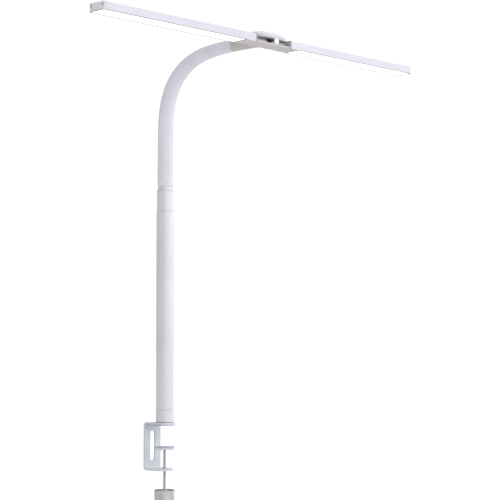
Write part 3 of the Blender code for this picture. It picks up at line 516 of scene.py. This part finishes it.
def make_clamp():
    """Skin the clamp's turned pieces, and finish its strip, pad, bolt and lock nut."""
    dress(clamp_coat, "clamp_bracket")
    dress(pad_rubber, "upper_jaw_pad")
    dress(zinc, "pole_bolt", "pole_nut")
    low, high = spans("thread_nut")
    nut = tube_profile(high[0], SCREW_HOLE, low[2], high[2], edge=0.4 * MM)
    skin("screw_nut", turned(nut), "clamp", zinc, ["thread_nut"], loop=True)
    low, high = spans("swivel_washer")
    bolt_hole = 4.2 * MM
    washer = tube_profile(high[0], bolt_hole, low[2], high[2], edge=0.2 * MM)
    skin("glide_washer", turned(washer), "clamp", white_nylon, ["swivel_washer"], loop=True)


def make_press():
    """Skin the pressure plate, with its chamfered foot and the screw's seat, and its ribbed pad."""
    low, high = spans("pressure_plate")
    seat, chamfer = 3.5 * MM, 0.8 * MM
    corners = [(0, low[2] + seat), (SCREW_HOLE, low[2] + seat), (SCREW_HOLE, low[2])]
    corners += [(high[0] - chamfer, low[2]), (high[0], low[2] + chamfer), (high[0], high[2]), (0, high[2])]
    plate = rounded(corners, 0.7 * MM, closed=False)
    skin("press_plate", turned(plate), "press", clamp_coat, ["pressure_plate"])
    low, high = spans("pressure_pad")
    rib, rib_pitch, border = 0.2 * MM, 2.4 * MM, 0.4 * MM
    r = np.linspace(0, high[0] - border, 120)
    ribs = high[2] - rib * (0.5 - 0.5 * np.cos(2 * math.pi * r / rib_pitch))
    top = np.stack((r, ribs), axis=-1)[::-1]
    side = rounded([(0, low[2]), (high[0], low[2]), (high[0], high[2] - rib)], 0.3 * MM, closed=False)
    pad = np.concatenate((side, top))
    skin("press_pad", turned(pad), "press", pad_rubber, ["pressure_pad"])


def make_screw():
    """Skin the clamp's screw with its thread, M6 by 1 mm, and its retaining clip."""
    low, high = spans("clamp_screw")
    grid = threaded(radius=3.0 * MM, depth=0.55 * MM, pitch=1.0 * MM, low=low[2], high=high[2])
    skin("threaded_screw", grid, "screw", zinc, ["clamp_screw"], sharp=80.0)
    low, high = spans("screw_clip")
    clip = tube_profile(high[0], SCREW_HOLE, low[2], high[2], edge=0.2 * MM)
    skin("retaining_clip", turned(clip), "screw", zinc, ["screw_clip"], loop=True)


def make_knob():
    """Skin the knob, with a dished top and five flutes that widen downwards, and a dark grey ring on its
    top rim that paints the shade falling on the knob's top.

    The side's radius at angle a is the soft least of R and the near crossing of the ray with the
    flute's circle, d cos b - sqrt(F^2 - d^2 sin^2 b), where b is the angle from the flute's middle,
    F its radius and d = R + F - depth(z) its distance; the depth grows down the side.
    """
    low, high = spans("clamp_knob")
    top, bottom = high[2], low[2]
    radius, rim, dish, boss, slope = 19.3 * MM, 1.6 * MM, 3.2 * MM, 6.5 * MM, 0.5 * MM
    bore_end = bottom + 9 * MM
    corners = [(SCREW_HOLE, bore_end), (SCREW_HOLE, top), (boss, top), (boss + slope, top - dish)]
    corners += [(radius - rim - 0.8 * MM, top - dish), (radius - rim, top), (radius, top)]
    corners += [(radius, top - 7 * MM), (radius, bottom + 8 * MM), (radius, bottom)]
    corners += [(radius - 4 * MM, bottom), (0, bottom + 1.2 * MM), (0, bore_end)]
    profile = rounded(corners, 1.1 * MM)

    flute, deepest, count, turn = 14.0 * MM, 5.0 * MM, 5, math.radians(46.8)
    lip, fade, soft, beyond = 1.5 * MM, 6 * MM, 0.5 * MM, 3 * MM
    a = np.linspace(0, 2 * math.pi, 240, endpoint=False)[:, None]
    sector = 2 * math.pi / count
    b = (a - turn + sector / 2) % sector - sector / 2
    r, z = profile[None, :, 0], profile[None, :, 1]
    depth = deepest * np.clip((top - lip - z) / (top - bottom - lip), 0, 1) ** 0.8
    away = radius + flute - depth
    under = np.maximum(flute ** 2 - (away * np.sin(b)) ** 2, 0.0)
    near = np.where(under > 0, away * np.cos(b) - np.sqrt(under), radius + beyond)
    near = np.minimum(near, radius + beyond)
    side = -soft * np.log(np.exp(-(near - radius) / soft) + 1.0) + radius
    ease = np.clip((r - (radius - fade)) / fade, 0, 1) * np.clip((top - z) / lip, 0, 1)
    r = r * (1 + ease * (side / radius - 1))
    z = np.broadcast_to(z, r.shape)
    grid = np.stack((r * np.cos(a), r * np.sin(a), z), axis=-1)
    skin("knob", grid, "screw", knob_plastic, ["clamp_knob"], loop=True)

    # A dark grey ring over the knob's top rim: painted shade, standing in for the shade on the knob's top
    # face.
    outer, inner = radius + 0.15 * MM, radius - rim - 1.0 * MM
    ring = tube_profile(outer, inner, top - 0.7 * MM, top + 0.25 * MM, edge=0.2 * MM)
    skin("knob_shadow_rim", turned(ring), "screw", shadow_grey_rubber, loop=True)


def make_pole():
    """Skin the pole's sleeve, tube, collar and ring, with fine eased edges, and finish its lead."""
    low, high = spans("base_sleeve")
    tube_low, tube_high = spans("pole_tube")
    foot = tube_profile(high[0], POLE_BORE, low[2], tube_low[2] - SEAM, edge=0.35 * MM)
    skin("pole_foot", turned(foot), "pole", pole_metal, ["base_sleeve"], loop=True)
    wall = 1.7 * MM
    tube = tube_profile(tube_high[0], tube_high[0] - wall, tube_low[2], tube_high[2], edge=0.25 * MM)
    skin("pole_skin", turned(tube), "pole", pole_metal, ["pole_tube"], loop=True)
    low, high = spans("pole_collar")
    collar = tube_profile(high[0], POLE_BORE, tube_high[2] + SEAM, high[2], edge=0.3 * MM)
    skin("collar_skin", turned(collar), "pole", pole_metal, ["pole_collar"], loop=True)

    seam = high[2] + SEAM
    ball, ball_z, ball_top = 14.55 * MM, joints["pitch_1"][2], math.radians(70)
    step = ball_z - 2 * MM
    rise = np.linspace(0, ball_top, 12)
    dome = np.stack((ball * np.cos(rise), ball_z + ball * np.sin(rise)), axis=-1)
    side = [(LEAD_BORE, seam), (high[0], seam), (high[0], step), (ball, step)]
    ring = np.concatenate((rounded(side, 0.25 * MM, closed=False), dome))
    skin("ring_skin", turned(ring), "pole", pole_metal, ["collar_ring"], loop=True)
    dress(lead_pvc, "pole_lead")


def make_inlet():
    """Skin the round power inlet on the pole's back, with its flange, and the pin inside it."""
    low, high = spans("dc_jack")
    face, flange, shell = high[1], high[0], 4.0 * MM
    well, depth, lip = 2.75 * MM, 7 * MM, 1.5 * MM
    corners = [(0, face - depth), (well, face - depth), (well, face), (flange, face)]
    corners += [(flange, face - lip), (shell, face - lip), (shell, low[1]), (0, low[1])]
    middle = (0, 0, (low[2] + high[2]) / 2)
    jack = turned(rounded(corners, 0.3 * MM, closed=False), middle, Y_AXIS, AROUND_HEAD)
    skin("power_inlet", jack, "pole", black_nylon, ["dc_jack"])
    pin = disc_profile(0.9 * MM, low[1] + 1 * MM, face - 1 * MM, edge=0.3 * MM)
    skin("inlet_pin", turned(pin, middle, Y_AXIS, AROUND_PIN), "pole", nickel)


# ---------------------------------------------------------------- gooseneck


def sleeve_radius(s, length):
    """Give the sleeve's radius: 15.15 mm at its foot, eased to 14.65 by 185 mm, then down to 11.2."""
    fast = np.clip((s - 60 * MM) / (125 * MM), 0, 1)
    slow = np.clip((s - 185 * MM) / (length - 185 * MM), 0, 1)
    return 15.15 * MM - 0.5 * MM * fast * fast * (3 - 2 * fast) - 3.45 * MM * slow ** 1.1


def make_sleeve():
    """Skin the gooseneck: one smooth sleeve, in stretches that each bend across one joint.

    P(a, s) = C(s) + r(s) (cos a X + sin a N(s)), with C a cubic spline through the joints and N
    square to it; each stretch runs from the middle of a link to the middle of the next.
    """
    wall, foot, end_gap = 1.4 * MM, 5.0 * MM, 0.3 * MM
    steps, around, blend_share = 26, 64, 0.45
    order = [f"{kind}_{number}" for number in range(1, 7) for kind in ("pitch", "sway")]
    end = np.array((0.0, spans("neck_socket")[1][1], joints["head_swivel"][2]))
    points = np.array([joints[name] for name in order] + [end])
    points = np.concatenate((points[:1] - (0, 0, 0.03), points))  # one below, for an upright start
    knots = chords(points)
    length = knots[-1] - knots[1]
    count = len(order)
    line = np.concatenate((np.arange(steps), np.arange(steps - 1, -1, -1)))
    a = np.linspace(0, 2 * math.pi, around, endpoint=False)[:, None, None]
    for i in range(count):
        start = knots[1] + foot if i == 0 else (knots[i + 1] + knots[i + 2]) / 2
        stop = knots[-1] - end_gap if i == count - 1 else (knots[i + 2] + knots[i + 3]) / 2
        s = np.linspace(start, stop, steps)
        centre, tangent = spline(points, s)
        normal = np.cross(tangent, X_AXIS)
        outer = sleeve_radius(s - knots[1], length)
        radius = np.concatenate((outer, (outer - wall)[::-1]))[None, :, None]
        grid = centre[line] + radius * (np.cos(a) * X_AXIS + np.sin(a) * normal[line])
        here = f"gooseneck_{i + 1:02d}"
        piece = skin(f"sleeve_{i + 1:02d}", grid, None, sleeve_rubber, [here], loop=True)
        if i == count - 1:
            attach(piece, here)
            continue
        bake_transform(piece)


# ---------------------------------------------------------------- hub and bars


def make_neck():
    """Skin the neck's socket, which the hub swivels on, and finish its retaining ring."""
    low, high = spans("neck_socket")
    bore, throat = 5.0 * MM, 6.5 * MM
    radius = (high[0] - low[0]) / 2
    wide_end = high[1] - joints["head_swivel"][1]
    end = high[1] - low[1]
    corners = [(bore, 0), (radius, 0), (radius, wide_end), (throat, wide_end), (throat, end), (bore, end)]
    grid = turned(rounded(corners, 0.6 * MM), (0, high[1], joints["head_swivel"][2]), -Y_AXIS)
    # The neck's warm grey is partly painted shade under the hub.
    skin("neck_skin", grid, "gooseneck_12", neck_paint_with_shade, ["neck_socket"], loop=True)
    dress(zinc, "neck_retainer")


def make_hub():
    """Skin the hub's cover, the post between its windows and its core, and finish the rest.

    Cover: x = A k(v) c(a), y = B k(v) s(a), where c and s are the cosine and sine raised to
    2/2.6 with their signs kept; k(v) = sin(v)^0.72 and z(v) = z0 + H cos(v)^0.9 from rim to crown.
    """
    # The hub's base takes the warm grey neck paint, partly painted shade on its underside.
    dress(neck_paint_with_shade, "hub_base")
    dress(hub_paint, "hub_deck")
    dress(green_board, "touch_board")
    low, high = spans("hub_post")
    aside = 7.2 * MM * X_AXIS  # the photo shows the post right of the middle
    post = slab(low + aside, high + aside, corner=0.5 * MM, edge=0.1 * MM)
    skin("window_post", post, "head", post_paint, ["hub_post"])
    low, high = spans("hub_core")
    low[0], high[0] = -4.2 * MM, 14.8 * MM  # from the left window's edge to the right one's
    core = slab(low, high, corner=0.6 * MM, edge=0.1 * MM)
    skin("core_block", core, "head", black_nylon, ["hub_core"])

    low, high = spans("hub_cover")
    overhang, lip, wall, squareness = 2.4 * MM, 1.0 * MM, 1.8 * MM, 2 / 2.6
    middle, half = (low + high) / 2, (high - low) / 2 + (overhang, 0, 0)
    a = np.linspace(0, 2 * math.pi, 160, endpoint=False)[:, None]
    c = np.sign(np.cos(a)) * np.abs(np.cos(a)) ** squareness
    s = np.sign(np.sin(a)) * np.abs(np.sin(a)) ** squareness
    v = np.linspace(math.pi / 2, 0.0, 40)

    def dome(inset, rise):
        k = np.concatenate(([1.0], np.sin(v) ** 0.72))
        z = np.concatenate(([low[2]], low[2] + lip + (rise - lip) * np.cos(v) ** 0.9))
        wide = (half[0] - inset) * k[None, :] * c
        deep = (half[1] - inset) * k[None, :] * s
        return np.stack((middle[0] + wide, middle[1] + deep, np.broadcast_to(z, wide.shape)), axis=-1)

    outside = dome(0.0, high[2] - low[2])
    inside = dome(wall, high[2] - low[2] - wall)[:, ::-1]
    grid = np.concatenate((outside, inside), axis=1)
    skin("hub_dome", grid, "head", hub_paint, ["hub_cover"], loop=True, sharp=50.0)


def make_light_edge(side, label):
    """Skin the plate under a bar's inner end, where its light stops, and a dark grey bead round the light
    that paints the shadow line under the housing's lip.

    Bead: P(u, w) = C(u) + (c + w0) N(u) + w1 Z, with C and N the corner arc's centre and outward
    way, c the corner's radius, and w0 and w1 the bead's profile, outwards and up.
    """
    low, high = spans(f"housing_{label}")
    near = reach(f"inner_cap_{label}")[0]
    far = reach(f"outer_cap_{label}")[1]
    light_start = near + 25.7 * MM
    margin, below, above = 0.1 * MM, 0.3 * MM, 0.2 * MM
    plate_low = (near, low[1] + margin, low[2] - below)
    plate_high = (light_start, high[1] - margin, low[2] + above)
    plate = slab(plate_low, plate_high, corner=1 * MM, edge=0.15 * MM)
    # The plate takes the warm grey neck paint, which partly paints the shade under the bar's inner end.
    skin(f"bar_shroud_{label}", plate * (side, 1, 1), f"bar_{label}", neck_paint_with_shade)

    # The bead is painted shadow: dark grey where the housing's lip and the gap beside the light lie in
    # shade.
    corner, overhang = 2.4 * MM, 0.15 * MM
    width, under, over = 1.9 * MM, 0.25 * MM, 0.5 * MM
    centres, out = corner_arcs((light_start, low[1]), (far, high[1]), corner - overhang)
    bead = rounded([(-width, -under), (0, -under), (0, over), (-width, over)], 0.2 * MM)[None]
    rim = (corner + bead[..., :1]) * out[:, None]
    grid = (centres[:, None] + rim + (low[2] + bead[..., 1:]) * Z_AXIS) * (side, 1, 1)
    name = f"diffuser_shadow_bead_{label}"
    skin(name, grid, f"bar_{label}", shadow_grey_rubber, loop=True, sharp=60.0)


def make_end_screw(label, mark, axis):
    """Skin one of the two socket screws in a bar's outer end."""
    node = f"cap_screw_{label}_{mark}"
    low, high = spans(node)
    near, far = reach(node)
    centre = (low + high) / 2 * (0, 1, 1)
    shank, head, socket = 1.4 * MM, (high[2] - low[2]) / 2, 1.15 * MM
    seat, socket_end = far - 1.2 * MM, far - 0.8 * MM
    corners = [(0, near), (shank, near), (shank, seat), (head, seat), (head, far)]
    corners += [(socket, far), (socket, socket_end), (0, socket_end)]
    grid = turned(rounded(corners, 0.25 * MM, closed=False), centre, axis, AROUND_HEAD)
    skin(f"end_screw_{label}_{mark}", grid, f"bar_{label}", zinc, [node])


def make_bar(side, label, shoulder):
    """Finish one bar, and skin its barrel, its washer, its light's edge and its end screws.

    The barrel is thick from the shoulder, a distance from the lamp's middle plane, outwards.
    """
    bar = f"bar_{label}"
    dress(bar_metal, f"housing_{label}")
    dress(cap_paint, f"outer_cap_{label}")
    # The inner caps' dark grey is painted shade.
    dress(root_paint_as_shade, f"inner_cap_{label}")
    dress(lit_opal, f"diffuser_{label}")
    dress(white_board, f"led_board_{label}")
    axis = side * X_AXIS
    pivot = np.array(joints[f"bar_{label}_tilt"]) * (0, 1, 1)
    low, high = spans(f"tilt_barrel_{label}")
    near, far = reach(f"tilt_barrel_{label}")
    pin, thick, flange = 2.5 * MM, (high[2] - low[2]) / 2, far - 12.3 * MM
    corners = [(0, near), (pin, near), (pin, shoulder), (thick, shoulder)]
    corners += [(thick, flange), (pin, flange), (pin, far), (0, far)]
    grid = turned(rounded(corners, 0.5 * MM, closed=False), pivot, axis, AROUND_BARREL)
    skin(f"barrel_{label}", grid, bar, nickel, [f"tilt_barrel_{label}"])
    low, high = spans(f"tilt_washer_{label}")
    near, far = reach(f"tilt_washer_{label}")
    washer = tube_profile((high[2] - low[2]) / 2, 2.8 * MM, near, far, edge=0.15 * MM)
    grid = turned(washer, pivot, axis, AROUND_BARREL)
    skin(f"washer_{label}", grid, bar, zinc, [f"tilt_washer_{label}"], loop=True)
    make_light_edge(side, label)
    for mark in ("front", "back"):
        make_end_screw(label, mark, axis)


# ---------------------------------------------------------------- stage


def make_floor():
    """Lay a white floor just under the lamp."""
    x, y = np.meshgrid((-FLOOR_HALF, FLOOR_HALF), (-FLOOR_HALF, FLOOR_HALF), indexing="ij")
    z = np.full_like(x, cad_box[0][2] - FLOOR_DROP)
    mesh = bpy.data.meshes.new("floor")
    mesh.from_pydata(np.stack((x, y, z), axis=-1).reshape(-1, 3).tolist(), [], [(0, 2, 3, 1)])
    made = Finish("painted_board_floor", Roughness=0.9)
    made.shader.inputs["Base Color"].default_value = linear("#EDEDEE")
    made.shader.inputs["Emission Color"].default_value = linear("#FFFFFF")
    seen = add(made.tree, "ShaderNodeLightPath").outputs["Is Camera Ray"]
    made.drive(made.calculate("MULTIPLY", seen, FLOOR_LIFT), "Emission Strength")
    mesh.materials.append(made.material)
    floor = bpy.data.objects.new("floor", mesh)
    bpy.context.scene.collection.objects.link(floor)


def make_sky():
    """Light the lamp by a sky with a bright and a dim half; the camera sees plain white in its place."""
    world = bpy.data.worlds.new("studio")
    world.use_nodes = True
    tree = world.node_tree
    tree.nodes.clear()
    plain = add(tree, "ShaderNodeBackground", {"Color": linear("#FFFFFF"), "Strength": BACKDROP})
    way = add(tree, "ShaderNodeTexCoord").outputs["Generated"]
    sockets = {0: way, 1: SKY_BRIGHT_SIDE}
    turn = add(tree, "ShaderNodeVectorMath", sockets, operation="DOT_PRODUCT").outputs["Value"]
    sockets = {0: turn, 1: SKY_TURNS[0], 2: SKY_TURNS[1], 3: SKY_DARK, 4: SKY_BRIGHT}
    level = add(tree, "ShaderNodeMapRange", sockets).outputs[0]
    soft = add(tree, "ShaderNodeBackground", {"Color": linear("#F8F8FC"), "Strength": level})
    seen = add(tree, "ShaderNodeLightPath").outputs["Is Camera Ray"]
    mix = add(tree, "ShaderNodeMixShader", {0: seen, 1: soft.outputs[0], 2: plain.outputs[0]})
    add(tree, "ShaderNodeOutputWorld", {0: mix.outputs[0]})
    bpy.context.scene.world = world
    bpy.context.scene.view_settings.view_transform = "Standard"


make_camera()
make_clamp()
make_press()
make_screw()
make_knob()
make_pole()
make_inlet()
make_sleeve()
make_neck()
make_hub()
make_bar(-1, "left", shoulder=4.5 * MM)
make_bar(1, "right", shoulder=8.1 * MM)
make_floor()
make_sky()
make_key()
